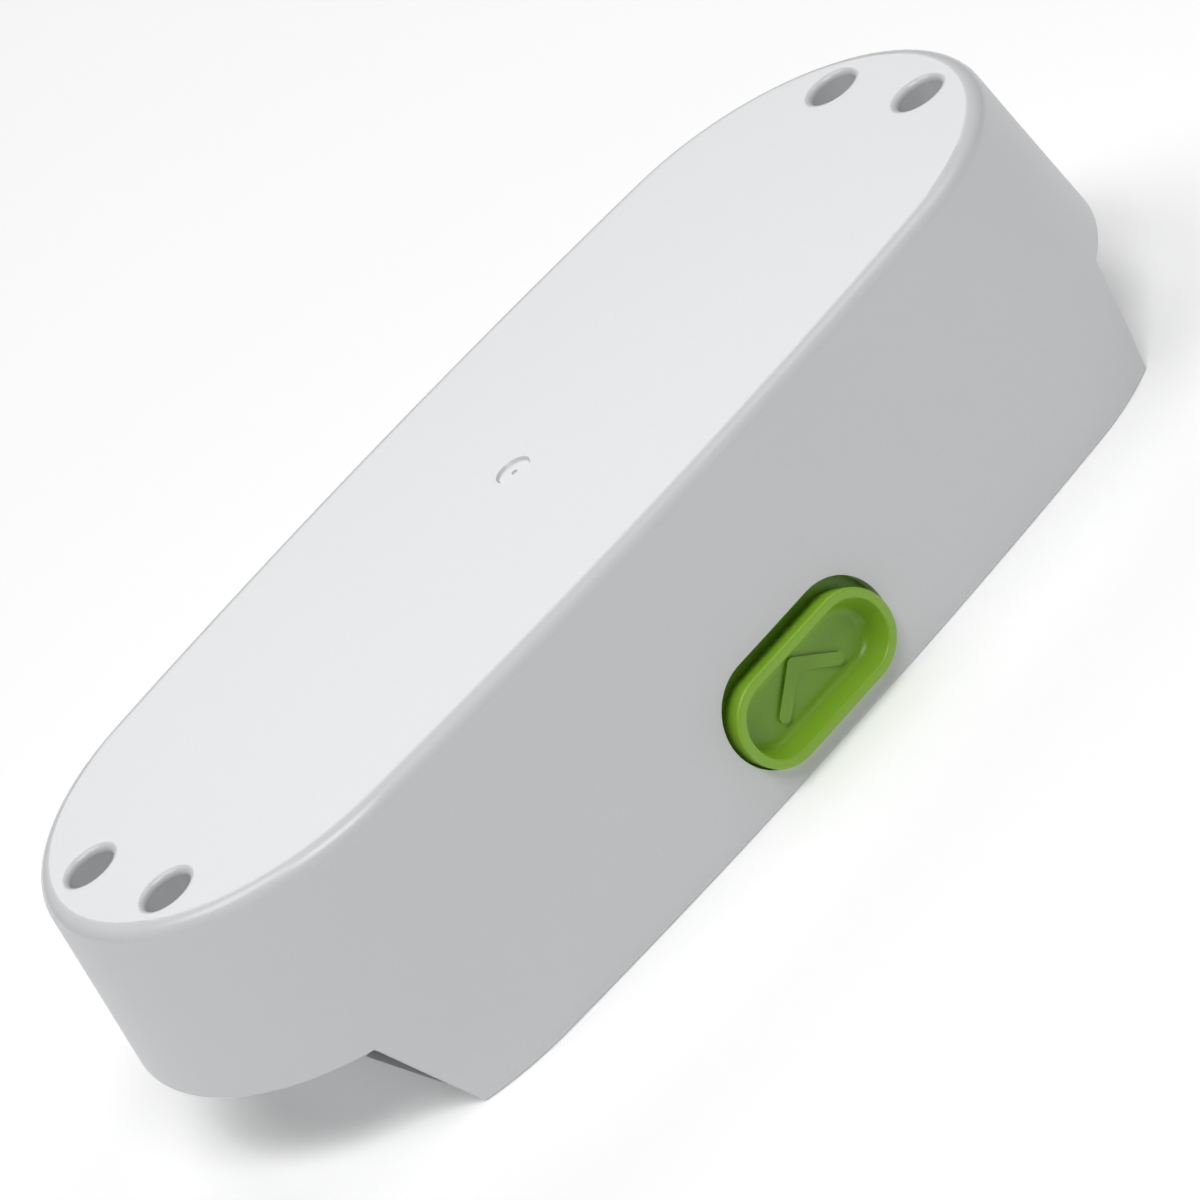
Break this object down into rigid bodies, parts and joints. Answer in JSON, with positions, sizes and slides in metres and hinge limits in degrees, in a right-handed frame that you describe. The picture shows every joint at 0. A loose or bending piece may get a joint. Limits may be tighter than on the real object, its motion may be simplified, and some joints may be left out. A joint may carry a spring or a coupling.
{
  "type": "clip-on battery pack",
  "caption": "Clip-on rechargeable battery pack with a drafted obround case, deep screw wells and sprung green finger releases that draw in latch levers on its docking side.",
  "frame": {"origin": "middle of the footprint on the plane of the lower skirt edges", "axes": "+X along the case, +Z out of the face with the screw wells, -Y towards the front release"},
  "size_m": [0.224, 0.1054, 0.0514],
  "materials": {
    "case_plastic": "fine moulded grain",
    "cover_plastic": "fine moulded grain",
    "release_green": "satin moulded",
    "dark_plastic": "moulded",
    "latch_plastic": "moulded acetal",
    "holder_plastic": "moulded",
    "foam": "open cell foam",
    "board": "solder mask",
    "component_black": "moulded package",
    "capacitor_can": "drawn can",
    "plain_aluminium": "milled",
    "shunt_metal": "rolled",
    "fuse_ceramic": "glazed body",
    "header_plastic": "moulded nylon",
    "lead_red": "silicone jacket",
    "lead_black": "silicone jacket",
    "flex_circuit": "polyimide film",
    "contact_brass": "plated",
    "insert_brass": "turned and knurled",
    "screw_steel": "zinc plated",
    "pin_steel": "ground",
    "spring_steel": "drawn wire",
    "nickel": "rolled nickel strip",
    "fibre_sheet": "fibre sheet",
    "cell_sleeve": "shrink sleeve over a steel can",
    "label_film": "blank polyester film"
  },
  "bodies": {
    "pack": {"balance_header": "header_plastic", "base_cover": "cover_plastic", "bms_board": "board", "board_screws": "screw_steel", "capacitors": "capacitor_can", "case_screws": "screw_steel", "cell_1": "cell_sleeve", "cell_2": "cell_sleeve", "cell_3": "cell_sleeve", "cell_4": "cell_sleeve", "cell_5": "cell_sleeve", "cell_6": "cell_sleeve", "cell_7": "cell_sleeve", "cell_8": "cell_sleeve", "cell_9": "cell_sleeve", "cell_holder_front": "holder_plastic", "cell_holder_rear": "holder_plastic", "contact_block": "dark_plastic", "contact_data": "contact_brass", "contact_negative": "contact_brass", "contact_positive": "contact_brass", "contact_screws": "screw_steel", "controller_chip": "component_black", "current_shunt": "shunt_metal", "foam_pad": "foam", "guide_screws_front": "screw_steel", "guide_screws_rear": "screw_steel", "heat_spreader": "plain_aluminium", "housing_shell": "case_plastic", "insulating_sheet_front": "fibre_sheet", "insulating_sheet_rear": "fibre_sheet", "latch_pin_front": "pin_steel", "latch_pin_rear": "pin_steel", "main_fuse": "fuse_ceramic", "nickel_links_front": "nickel", "nickel_links_rear": "nickel", "power_lead_negative": "lead_black", "power_lead_positive": "lead_red", "power_transistors": "component_black", "rating_label": "label_film", "sense_strip": "flex_circuit", "slider_guide_front": "dark_plastic", "slider_guide_rear": "dark_plastic", "slider_spring_front": "spring_steel", "slider_spring_rear": "spring_steel", "thermistor": "component_black", "threaded_inserts": "insert_brass", "vent_plug": "dark_plastic"},
    "slider_front": {"release_slider_front": "release_green"},
    "latch_front": {"latch_lever_front": "latch_plastic"},
    "slider_rear": {"release_slider_rear": "release_green"},
    "latch_rear": {"latch_lever_rear": "latch_plastic"}
  },
  "joints": [
    {"name": "slider_front_slide", "type": "slide", "parent": "pack", "child": "slider_front", "axis": [0, 0.1184, 0.993], "range_m": [0, 0.002], "stiffness_N_per_m": 1200, "springref_m": -0.002, "deforming": ["slider_spring_front"]},
    {"name": "latch_front_pivot", "type": "hinge", "parent": "pack", "child": "latch_front", "pos_m": [0, -0.0315, 0.0205], "axis": [-1, 0, 0], "range_deg": [0, 11.5]},
    {"name": "slider_rear_slide", "type": "slide", "parent": "pack", "child": "slider_rear", "axis": [0, -0.1184, 0.993], "range_m": [0, 0.002], "stiffness_N_per_m": 1200, "springref_m": -0.002, "deforming": ["slider_spring_rear"]},
    {"name": "latch_rear_pivot", "type": "hinge", "parent": "pack", "child": "latch_rear", "pos_m": [0, 0.0315, 0.0205], "axis": [1, 0, 0], "range_deg": [0, 11.5]}
  ],
  "couplings": [
    {"joint": "latch_front_pivot", "follows": "slider_front_slide", "rad_per_m": 100},
    {"joint": "latch_rear_pivot", "follows": "slider_rear_slide", "rad_per_m": 100}
  ]
}
